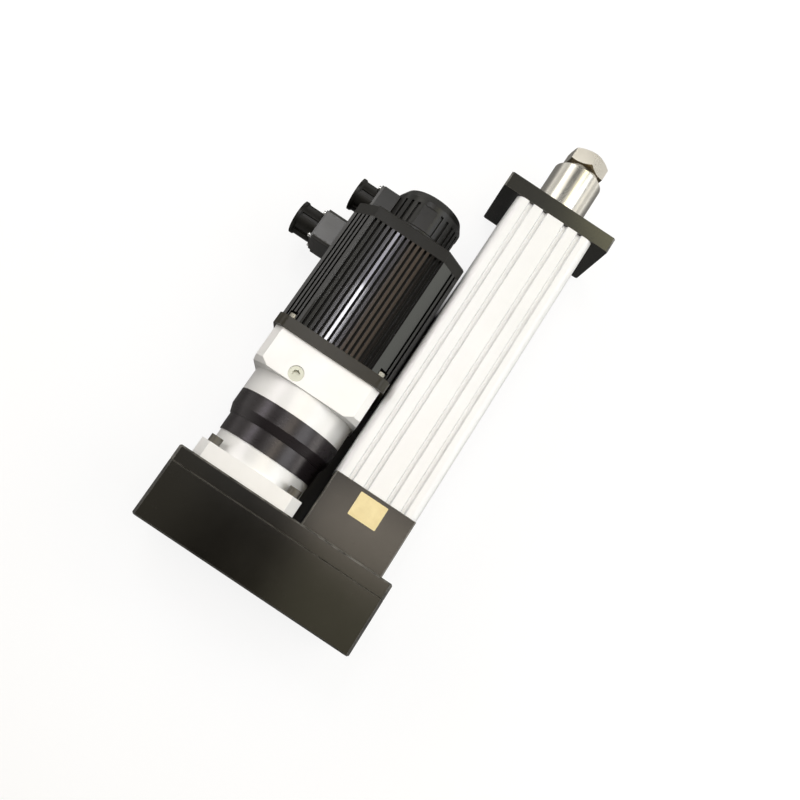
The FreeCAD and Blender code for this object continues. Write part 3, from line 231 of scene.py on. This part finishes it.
# 1 on slanting faces such as broken edges, 0 on faces square to the axes, and worn unevenly; the lighter tone
# it carries is partly wear and partly a painted highlight on the chamfers
chamferWearAndHighlight = dict(slantRange=(0.97, 0.80), detail=5, roughness=0.65, wearRange=(0.36, 0.62))


def makeChamferGroup():
    tree, inside, outside = newGroup(
        "chamferWearAndHighlight",
        [("Normal", "NodeSocketVector", None), ("Vector", "NodeSocketVector", None),
         ("Wear Scale", "NodeSocketFloat", 60.0)],
        [("Worn And Lit", "NodeSocketFloat")])
    plain = addNode(tree, "ShaderNodeVectorMath", operation="ABSOLUTE")
    link(tree, inside.outputs["Normal"], plain.inputs[0])
    axes = splitAxes(tree, plain.outputs["Vector"])
    largest = maths(tree, "MAXIMUM", maths(tree, "MAXIMUM", axes["X"], axes["Y"]), axes["Z"])
    uneven = noiseInto(tree, inside.outputs["Vector"], inside.outputs["Wear Scale"], chamferWearAndHighlight["detail"],
                       chamferWearAndHighlight["roughness"])
    wornAndLit = maths(tree, "MULTIPLY", mapRange(tree, largest, *chamferWearAndHighlight["slantRange"]),
                 mapRange(tree, uneven, *chamferWearAndHighlight["wearRange"]))
    link(tree, wornAndLit, outside.inputs["Worn And Lit"])
    return tree


finishGroup = makeFinishGroup()
toolMarkGroup = makeToolMarkGroup()
edgeGroup = makeEdgeGroup()
grooveGroup = makeGrooveGroup()
chamferGroup = makeChamferGroup()
print("shared effects ready")


# what a finish has where its own dictionary doesn't say
plainLook = dict(metallic=0.0, ior=1.5, coat=0.0, coatRoughness=0.1, cloudScale=30.0, grainScale=1500.0,
                 marksScale=900.0, edgeRadius=0.5 * mm, edgeShare=0.5, speckShare=0.3, rearShadeRange=(-0.2, -0.4),
                 bump=0.06, bumpDepth=0.1 * mm)


# one finish from its dictionary: two tones, a range of roughness, grain or tool marks, edges
def makeFinish(name, ownLook):
    look = {**plainLook, **ownLook}
    material = bpy.data.materials.new(name)
    material.use_nodes = True
    tree = material.node_tree
    shader = tree.nodes["Principled BSDF"]
    shader.inputs["Metallic"].default_value = look["metallic"]
    shader.inputs["IOR"].default_value = look["ior"]
    shader.inputs["Coat Weight"].default_value = look["coat"]
    shader.inputs["Coat Roughness"].default_value = look["coatRoughness"]
    coordinates = addNode(tree, "ShaderNodeTexCoord")
    place, facing = coordinates.outputs["Object"], coordinates.outputs["Normal"]
    finish = useGroup(tree, finishGroup, {"Vector": place, "Cloud Scale": look["cloudScale"],
                                          "Grain Scale": look["grainScale"]})
    colour = mixColour(tree, finish.outputs["Cloud"], look["dark"], look["light"])
    height = finish.outputs["Grain"]
    roughSource = finish.outputs["Cloud"]
    if "marksStretch" in look:  # tool marks drawn out along one axis
        mapping = addNode(tree, "ShaderNodeMapping")
        mapping.inputs["Scale"].default_value = look["marksStretch"]
        link(tree, place, mapping.inputs["Vector"])
        marks = useGroup(tree, toolMarkGroup, {"Vector": mapping.outputs["Vector"],
                                               "Scale": look["marksScale"]})
        height = roughSource = marks.outputs["Marks"]
    edge = useGroup(tree, edgeGroup, {"Radius": look["edgeRadius"]})
    if "edgeWearAndHighlightTone" in look:  # worn or bare edges; on the bearing block the pale tone is a painted highlight line along its edges
        bareAndLitEdge = maths(tree, "MULTIPLY", edge.outputs["Edge"], look["edgeShare"])
        colour = mixColour(tree, bareAndLitEdge, colour, look["edgeWearAndHighlightTone"])
    if "chamferWearAndHighlightTone" in look:  # broken edges rubbed lighter, partly a painted highlight on the chamfers
        chamfer = useGroup(tree, chamferGroup, {"Normal": facing, "Vector": place})
        rubbedAndLit = mapRange(tree, chamfer.outputs["Worn And Lit"], 0, 1, 0, look["chamferShare"])
        colour = mixColour(tree, rubbedAndLit, colour, look["chamferWearAndHighlightTone"])
    if "rearShadeTone" in look:  # painted shade on faces turned to the rear
        rearShade = mapRange(tree, splitAxes(tree, facing)["X"], *look["rearShadeRange"])
        colour = mixColour(tree, rearShade, colour, look["rearShadeTone"])
    if "speckTone" in look:  # rare pale specks
        specks = maths(tree, "MULTIPLY", finish.outputs["Speck"], look["speckShare"])
        colour = mixColour(tree, specks, colour, look["speckTone"])
    rough = mapRange(tree, roughSource, 0, 1, *look["roughness"])
    if "grooveShadeTone" in look:  # dull at the bottom of the fins, and darkened there as painted shade
        deep = useGroup(tree, grooveGroup, {"Vector": place}).outputs["Groove"]
        colour = mixColour(tree, deep, colour, look["grooveShadeTone"])
        rough = mixValues(tree, "FLOAT", deep, rough, look["grooveRoughness"])
        link(tree, mapRange(tree, deep, 0, 1, look["coat"], 0.0), shader.inputs["Coat Weight"])
    link(tree, colour, shader.inputs["Base Color"])
    link(tree, rough, shader.inputs["Roughness"])
    bump = addNode(tree, "ShaderNodeBump")
    bump.inputs["Strength"].default_value = look["bump"]
    bump.inputs["Distance"].default_value = look["bumpDepth"]
    link(tree, height, bump.inputs["Height"])
    link(tree, edge.outputs["Normal"], bump.inputs["Normal"])
    link(tree, bump.outputs["Normal"], shader.inputs["Normal"])
    return material


# one finish for each slot
finishes = {
    "black_anodised": dict(dark=(0.0046, 0.0040, 0.0028), light=(0.0075, 0.0066, 0.0048), ior=1.38,
                           roughness=(0.15, 0.19), cloudScale=14, grainScale=2600, bump=0.010,
                           edgeRadius=0.8 * mm, edgeWearAndHighlightTone=(0.20, 0.19, 0.165), edgeShare=0.8,
                           chamferWearAndHighlightTone=(0.30, 0.29, 0.26), chamferShare=0.6,
                           speckTone=(0.05, 0.047, 0.042), speckShare=0.10),
    "silver_anodised": dict(dark=(0.830, 0.838, 0.848), light=(0.858, 0.866, 0.876), metallic=0.20,
                            roughness=(0.42, 0.48), marksStretch=(0.03, 1, 1), marksScale=1600, bump=0.004,
                            edgeRadius=0.4 * mm),
    "bright_aluminium": dict(dark=(0.81, 0.812, 0.806), light=(0.855, 0.857, 0.852), metallic=0.30,
                             roughness=(0.40, 0.48), marksStretch=(1, 0.06, 0.06), marksScale=1400,
                             bump=0.02, edgeRadius=0.6 * mm),
    "plain_aluminium": dict(dark=(0.60, 0.60, 0.59), light=(0.70, 0.70, 0.69), metallic=1.0,
                            roughness=(0.3, 0.45), marksStretch=(1, 0.06, 0.06)),
    "motor_black": dict(dark=(0.0045, 0.0043, 0.0040), light=(0.0075, 0.0071, 0.0065), ior=1.42,
                        roughness=(0.05, 0.07), coat=0.3, coatRoughness=0.05, marksStretch=(0.02, 1, 1),
                        marksScale=1300, bump=0.0, edgeRadius=0.25 * mm, edgeWearAndHighlightTone=(0.05, 0.05, 0.048),
                        edgeShare=0.3, grooveShadeTone=(0.0022, 0.0021, 0.0020), grooveRoughness=0.6),
    "blackened_steel": dict(dark=(0.0140, 0.0108, 0.0124), light=(0.0230, 0.0182, 0.0208), metallic=0.3,
                            ior=1.6, roughness=(0.26, 0.34), marksStretch=(1, 0.05, 0.05), marksScale=1500,
                            bump=0.015, edgeWearAndHighlightTone=(0.08, 0.08, 0.08), edgeShare=0.4),
    "polished_rod": dict(dark=(0.71, 0.685, 0.63), light=(0.79, 0.765, 0.71), metallic=1.0,
                         roughness=(0.20, 0.25), marksStretch=(1, 0.04, 0.04), marksScale=2200, bump=0.003),
    "bearing_steel": dict(dark=(0.48, 0.48, 0.47), light=(0.58, 0.58, 0.57), metallic=1.0,
                          roughness=(0.2, 0.32), marksStretch=(1, 0.05, 0.05)),
    "dark_steel": dict(dark=(0.075, 0.070, 0.058), light=(0.12, 0.112, 0.095), metallic=0.7,
                       roughness=(0.36, 0.46), edgeWearAndHighlightTone=(0.26, 0.25, 0.23), edgeShare=0.5),
    "bright_steel": dict(dark=(0.70, 0.70, 0.69), light=(0.80, 0.80, 0.79), metallic=1.0,
                         roughness=(0.18, 0.30)),
    "bush_bronze": dict(dark=(0.45, 0.31, 0.14), light=(0.55, 0.40, 0.20), metallic=1.0,
                        roughness=(0.35, 0.5)),
    "copper_winding": dict(dark=(0.45, 0.20, 0.09), light=(0.62, 0.32, 0.17), metallic=0.9,
                           roughness=(0.3, 0.45), marksStretch=(1, 0.2, 0.2), marksScale=700, bump=0.3),
    "belt_rubber": dict(dark=(0.016, 0.016, 0.016), light=(0.03, 0.03, 0.03), roughness=(0.6, 0.75),
                        bump=0.2),
    "seal_rubber": dict(dark=(0.014, 0.014, 0.014), light=(0.024, 0.024, 0.024), roughness=(0.5, 0.65),
                        bump=0.1),
    "slide_plastic": dict(dark=(0.07, 0.07, 0.075), light=(0.10, 0.10, 0.11), roughness=(0.45, 0.6)),
    "cover_plastic": dict(dark=(0.0052, 0.0051, 0.0044), light=(0.0088, 0.0086, 0.0076), ior=1.42,
                          roughness=(0.28, 0.36), grainScale=1300, bump=0.03,
                          edgeWearAndHighlightTone=(0.06, 0.06, 0.058), edgeShare=0.3),
    "cap_plastic": dict(dark=(0.0046, 0.0044, 0.0036), light=(0.0080, 0.0077, 0.0064), ior=1.36,
                        roughness=(0.36, 0.44), grainScale=1500, bump=0.04,
                        edgeWearAndHighlightTone=(0.06, 0.06, 0.058), edgeShare=0.3),
    "connector_grey": dict(dark=(0.024, 0.0238, 0.0228), light=(0.034, 0.0336, 0.0322), ior=1.58,
                           roughness=(0.30, 0.36), grainScale=1500, bump=0.04,
                           edgeWearAndHighlightTone=(0.10, 0.10, 0.097), edgeShare=0.35),
}
# single nodes that differ from the rest of their slot
ownFinishes = {
    # the belt cover and base plate differ in how strongly their chamfers are painted lighter, partly wear and
    # partly painted highlight
    "belt_cover": dict(finishes["black_anodised"], chamferShare=0.12),
    "belt_base_plate": dict(finishes["black_anodised"], chamferShare=0.5),
    # the bearing block's wide, pale edge tone is a painted highlight line
    "bearing_block": dict(finishes["black_anodised"], edgeRadius=1.6 * mm, edgeWearAndHighlightTone=(0.42, 0.40, 0.36),
                          edgeShare=1.0),
    "motor_flange": dict(dark=(0.0185, 0.0160, 0.0088), light=(0.0260, 0.0226, 0.0132), ior=1.36,
                         roughness=(0.27, 0.33), grainScale=2200, bump=0.012,
                         edgeWearAndHighlightTone=(0.12, 0.115, 0.10), edgeShare=0.35),
    "motor_rear_plate": dict(dark=(0.0048, 0.0044, 0.0029), light=(0.0074, 0.0068, 0.0048), ior=1.33,
                             roughness=(0.34, 0.42), grainScale=2200, bump=0.015,
                             edgeWearAndHighlightTone=(0.09, 0.087, 0.078), edgeShare=0.35),
    "front_flange": dict(dark=(0.0062, 0.0058, 0.0038), light=(0.0095, 0.0090, 0.0060), ior=1.5,
                         roughness=(0.16, 0.20), cloudScale=14, grainScale=2600, bump=0.010,
                         edgeRadius=0.8 * mm, edgeWearAndHighlightTone=(0.20, 0.19, 0.165), edgeShare=0.8,
                         chamferWearAndHighlightTone=(0.30, 0.29, 0.26), chamferShare=0.6),
    # the rod end's dark tone on its rear-facing faces under the hex is painted shade
    "rod_end": dict(dark=(0.69, 0.66, 0.595), light=(0.77, 0.74, 0.675), metallic=1.0,
                    roughness=(0.24, 0.30), bump=0.01, rearShadeTone=(0.16, 0.13, 0.085)),
    "access_plug": dict(dark=(0.40, 0.41, 0.34), light=(0.52, 0.53, 0.45), metallic=0.8,
                        roughness=(0.30, 0.42), bump=0.03, edgeWearAndHighlightTone=(0.80, 0.80, 0.76), edgeShare=0.5),
    "motor_flange_screws": dict(dark=(0.26, 0.25, 0.21), light=(0.36, 0.35, 0.30), metallic=0.7,
                                roughness=(0.34, 0.44), edgeWearAndHighlightTone=(0.55, 0.54, 0.50), edgeShare=0.5),
}
materials = {name: makeFinish(name, look) for name, look in {**finishes, **ownFinishes}.items()}
for entry in frame["record"]["subparts"]:
    piece = nodes[entry["node"]]
    piece.data.materials.clear()
    piece.data.materials.append(materials.get(entry["node"], materials[entry["material_slot"]]))
print("finishes on", len(nodes), "nodes")


def newObject(name, mesh, material):
    data = bpy.data.meshes.new(name)
    mesh.to_mesh(data)
    mesh.free()
    data.materials.append(material)
    piece = bpy.data.objects.new(name, data)
    scene.collection.objects.link(piece)
    return piece


# rating plate on the bearing block: a bare foil, stuck on; lengths in mm
ratingPlate = dict(length=25.5, width=31.5, thickness=0.25, fromFront=4.0, aside=-0.8, corner=1.0,
                   cornerSegments=4)
ratingFoil = dict(dark=(0.82, 0.68, 0.35), light=(0.92, 0.78, 0.43), roughness=(0.38, 0.5), cloudScale=90,
                  marksStretch=(1, 0.05, 1), marksScale=1200, bump=0.04)


def makeRatingPlate():
    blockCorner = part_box("bearing_block")[1]  # its front, far and upper corner
    length, width, thickness = (ratingPlate[side] * mm for side in ("length", "width", "thickness"))
    mesh = bmesh.new()
    bmesh.ops.create_cube(mesh, size=1)
    bmesh.ops.scale(mesh, vec=(length, width, thickness), verts=mesh.verts)
    upright = [edge for edge in mesh.edges
               if abs(edge.verts[0].co.z - edge.verts[1].co.z) > thickness / 2]
    bmesh.ops.bevel(mesh, geom=upright, offset=ratingPlate["corner"] * mm, affect="EDGES",
                    segments=ratingPlate["cornerSegments"], profile=0.5, material=-1)
    middle = Vector((blockCorner.x - (ratingPlate["fromFront"] + ratingPlate["length"] / 2) * mm,
                     ratingPlate["aside"] * mm, blockCorner.z + thickness / 2))
    bmesh.ops.translate(mesh, vec=middle, verts=mesh.verts)
    bmesh.ops.recalc_face_normals(mesh, faces=mesh.faces)
    piece = newObject("rating_plate", mesh, makeFinish("ratingFoil", ratingFoil))
    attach(piece, "housing")


makeRatingPlate()
print("rating plate on")


# floor, lights and camera

# the floor is white to the camera; close round the part its colour is painted dark as shade, so it sends
# little light back up and looks dark in reflections, and in the slit beside the motor it is painted darker
# still and gives no glow
floorLook = dict(size=14.0, place=(-0.2, 0.06), drop=0.2 * mm, roughness=0.9, cloudScale=3,
                 farTone=0.86, toneSpread=0.01, nearShadeTone=0.17, slitShadeTone=0.10,
                 farGlow=0.26, nearGlow=0.85, nearShadedMirror=0.04, outerGlow=1.0,
                 middle=(-0.21, 0.06), reach=(1.0, 0.8), nearRange=(0.10, 0.60),
                 slitMiddle=(-0.29, 0.05), slitReach=(0.22, 0.05), slitRange=(0.03, 0.35),
                 lampReach=(4.0, 4.0), outerRange=(0.75, 0.25))


def makeFloor():
    material = bpy.data.materials.new("paleFloor")
    mesh = bmesh.new()
    bmesh.ops.create_grid(mesh, x_segments=1, y_segments=1, size=floorLook["size"] / 2)
    bmesh.ops.translate(mesh, vec=(*floorLook["place"], cadBox[0].z - floorLook["drop"]), verts=mesh.verts)
    floor = newObject("floor", mesh, material)
    material.use_nodes = True
    tree = material.node_tree
    shader = tree.nodes["Principled BSDF"]
    shader.inputs["Roughness"].default_value = floorLook["roughness"]
    shader.inputs["Specular IOR Level"].default_value = 0.0
    shader.inputs["Emission Color"].default_value = (*white, 1)
    place = addNode(tree, "ShaderNodeTexCoord").outputs["Object"]
    finish = useGroup(tree, finishGroup, {"Vector": place, "Cloud Scale": floorLook["cloudScale"]})

    def grey(tone):
        return (tone,) * 3

    def spot(middle, reach):  # 1 in the middle of an ellipse, 0 at its rim
        mapping = addNode(tree, "ShaderNodeMapping", vector_type="TEXTURE")
        mapping.inputs["Location"].default_value = (*middle, cadBox[0].z)
        mapping.inputs["Scale"].default_value = (*reach, 1)
        link(tree, place, mapping.inputs["Vector"])
        fade = addNode(tree, "ShaderNodeTexGradient", gradient_type="SPHERICAL")
        link(tree, mapping.outputs["Vector"], fade.inputs["Vector"])
        return fade.outputs["Fac"]

    # close round the part the floor colour is painted dark as shade
    nearShade = mapRange(tree, spot(floorLook["middle"], floorLook["reach"]), *floorLook["nearRange"])
    # the slit under the gap beside the motor is painted near-black as shade
    slitShade = mapRange(tree, spot(floorLook["slitMiddle"], floorLook["slitReach"]), *floorLook["slitRange"])
    farTone, farGlow = floorLook["farTone"], floorLook["farGlow"]
    pale = mixColour(tree, finish.outputs["Cloud"], grey(farTone), grey(farTone + floorLook["toneSpread"]))
    colour = mixColour(tree, nearShade, pale, grey(floorLook["nearShadeTone"]))
    colour = mixColour(tree, slitShade, colour, grey(floorLook["slitShadeTone"]))
    link(tree, colour, shader.inputs["Base Color"])

    path = addNode(tree, "ShaderNodeLightPath")
    around = mapRange(tree, nearShade, 0, 1, farGlow, floorLook["nearGlow"])
    outer = mapRange(tree, spot(floorLook["middle"], floorLook["lampReach"]), *floorLook["outerRange"],
                     0, floorLook["outerGlow"])  # where the lamps no longer reach
    toCamera = maths(tree, "MULTIPLY", path.outputs["Is Camera Ray"], maths(tree, "MAXIMUM", around, outer))
    mirrored = maths(tree, "MAXIMUM", path.outputs["Is Glossy Ray"], path.outputs["Is Transmission Ray"])
    # close round the part the floor glows little in reflections: painted shade
    toMetal = maths(tree, "MULTIPLY", mirrored, mapRange(tree, nearShade, 0, 1, farGlow, floorLook["nearShadedMirror"]))
    # no glow in the slit, so it stays dark as painted shade
    outsideSlit = mapRange(tree, slitShade, 0, 1, 1, 0)
    glow = maths(tree, "MULTIPLY", maths(tree, "MAXIMUM", toCamera, toMetal), outsideSlit)
    link(tree, glow, shader.inputs["Emission Strength"])


# bright near the horizon for the metal, dark overhead so the black tops stay black, white to the camera
skyLook = dict(horizon=0.75, overhead=0.07, low=0.10, high=0.55, tint=(1.0, 0.975, 0.92), toCamera=1.0)


def makeWorld():
    world = bpy.data.worlds.new("studio")
    scene.world = world
    world.use_nodes = True
    tree = world.node_tree
    background = tree.nodes["Background"]
    way = addNode(tree, "ShaderNodeTexCoord").outputs["Generated"]
    sky = mapRange(tree, splitAxes(tree, way)["Z"], skyLook["low"], skyLook["high"],
                   skyLook["horizon"], skyLook["overhead"])
    seen = addNode(tree, "ShaderNodeLightPath").outputs["Is Camera Ray"]
    link(tree, mixValues(tree, "FLOAT", seen, sky, skyLook["toCamera"]), background.inputs["Strength"])
    link(tree, mixColour(tree, seen, skyLook["tint"], white), background.inputs["Color"])


# two banks light the part from the sides, and its faces mirror the cards and strips;
# a lamp with no aim of its own points straight down
lamps = {
    "rightBank": dict(place=(0.2, -1.28, 1.62), aim=(-0.2, 0.05, 0.0), size=(2.0, 1.0), power=18.3,
                      colour=(0.975, 0.985, 1.0)),
    "leftBank": dict(place=(0.2, 1.6, 1.3), aim=(-0.2, 0.1, 0.0), size=(2.2, 1.0), power=12.0,
                     colour=(1.0, 0.97, 0.90)),
    "barrelCard": dict(place=(0.40, -0.165, 1.9), size=(1.2, 0.39), power=1.12, colour=white),
    "gearCard": dict(place=(-0.175, 0.25, 1.9), size=(0.45, 0.5), power=0.98, colour=white),
    "blockCard": dict(place=(-0.22, -0.18, 1.9), size=(0.40, 0.48), power=4.4, colour=(1.0, 0.88, 0.74)),
    "flangeCard": dict(place=(1.0, -0.45, 1.9), size=(0.5, 0.5), power=3.8, colour=(1.0, 0.95, 0.60)),
    "rodCard": dict(place=(1.15, 0.0, 1.9), size=(0.6, 0.40), power=0.56, colour=(1.0, 0.95, 0.86)),
    "coverCard": dict(place=(-0.64, -0.415, 1.9), size=(0.52, 0.77), power=1.8, colour=(1.0, 0.93, 0.62)),
    "coverFarCard": dict(place=(-0.64, 0.565, 1.9), size=(0.52, 0.47), power=0.55,
                         colour=(1.0, 0.92, 0.70)),
    "boxCard": dict(place=(0.48, 0.60, 1.9), size=(0.5, 0.40), power=5.4, colour=white),
    "chamferCard": dict(place=(0.10, -1.6, 0.16), aim=(-0.15, 0.05, 0.06), size=(0.8, 0.22), power=0.55,
                        colour=(0.95, 1.0, 0.90)),
    "ringCard": dict(place=(-0.25, 1.35, 1.08), aim=(-0.37, 0.14, 0.05), size=(0.35, 0.25), power=1.1,
                     colour=(0.88, 0.78, 1.0)),
    "gearSideCard": dict(place=(-0.10, -1.6, 0.50), aim=(-0.33, 0.12, 0.03), size=(0.7, 0.55), power=3.2,
                         colour=(1.0, 0.96, 0.92)),
    "rodSideCard": dict(place=(0.80, 1.15, 0.74), aim=(0.02, 0.0, 0.0), size=(0.4, 0.4), power=0.7,
                        colour=(1.0, 0.97, 0.90)),
    "sideCard": dict(place=(1.15, -1.75, 0.85), aim=(0.05, 0.0, 0.0), size=(1.0, 0.6), power=1.6,
                     colour=(1.0, 0.97, 0.90)),
    "stripTube": dict(place=(0.02, 0.233, 1.3), size=(0.30, 0.018), power=0.56, colour=(0.95, 0.94, 1.0)),
    "stripTail": dict(place=(0.27, 0.233, 1.3), size=(0.20, 0.018), power=0.12, colour=(0.90, 0.88, 1.0)),
    "stripHalo": dict(place=(0.12, 0.236, 1.32), size=(0.5, 0.085), power=0.17, colour=(0.93, 0.90, 1.0)),
    "motorCard": dict(place=(0.375, 0.335, 1.9), size=(0.55, 0.13), power=0.15, colour=(1.0, 0.98, 0.86)),
    "warmCard": dict(place=(0.18, 0.165, 1.3), size=(0.5, 0.06), power=0.16, colour=(1.0, 0.76, 0.56)),
}


def makeLamps():
    for name, lamp in lamps.items():
        data = bpy.data.lights.new(name, "AREA")
        data.shape = "RECTANGLE"
        data.size, data.size_y = lamp["size"]
        data.energy = lamp["power"]
        data.color = lamp["colour"]
        lampObject = bpy.data.objects.new(name, data)
        scene.collection.objects.link(lampObject)
        place = Vector(lamp["place"])
        lampObject.location = place
        way = Vector(lamp.get("aim", (place.x, place.y, 0.0))) - place
        lampObject.rotation_euler = way.to_track_quat("-Z", "Y").to_euler()


# the photo's own viewpoint: place and sensor in mm, turn in degrees
viewpoint = dict(place=(-433.0, 59.7, 831.5), turn=(9.570, -6.038, -56.806), sensor=36, lens=36.162,
                 shift=(0.0331, -0.0197), clipStart=0.05)


def makeCamera():
    data = bpy.data.cameras.new("viewpoint")
    data.sensor_width = viewpoint["sensor"]
    data.lens = viewpoint["lens"]
    data.shift_x, data.shift_y = viewpoint["shift"]
    data.clip_start = viewpoint["clipStart"]
    camera = bpy.data.objects.new("viewpoint", data)
    scene.collection.objects.link(camera)
    camera.location = [length * mm for length in viewpoint["place"]]
    camera.rotation_euler = [math.radians(angle) for angle in viewpoint["turn"]]
    scene.camera = camera


makeFloor()
makeWorld()
makeLamps()
makeCamera()
scene.view_settings.view_transform = "Standard"
print("stage, lamps and camera set")
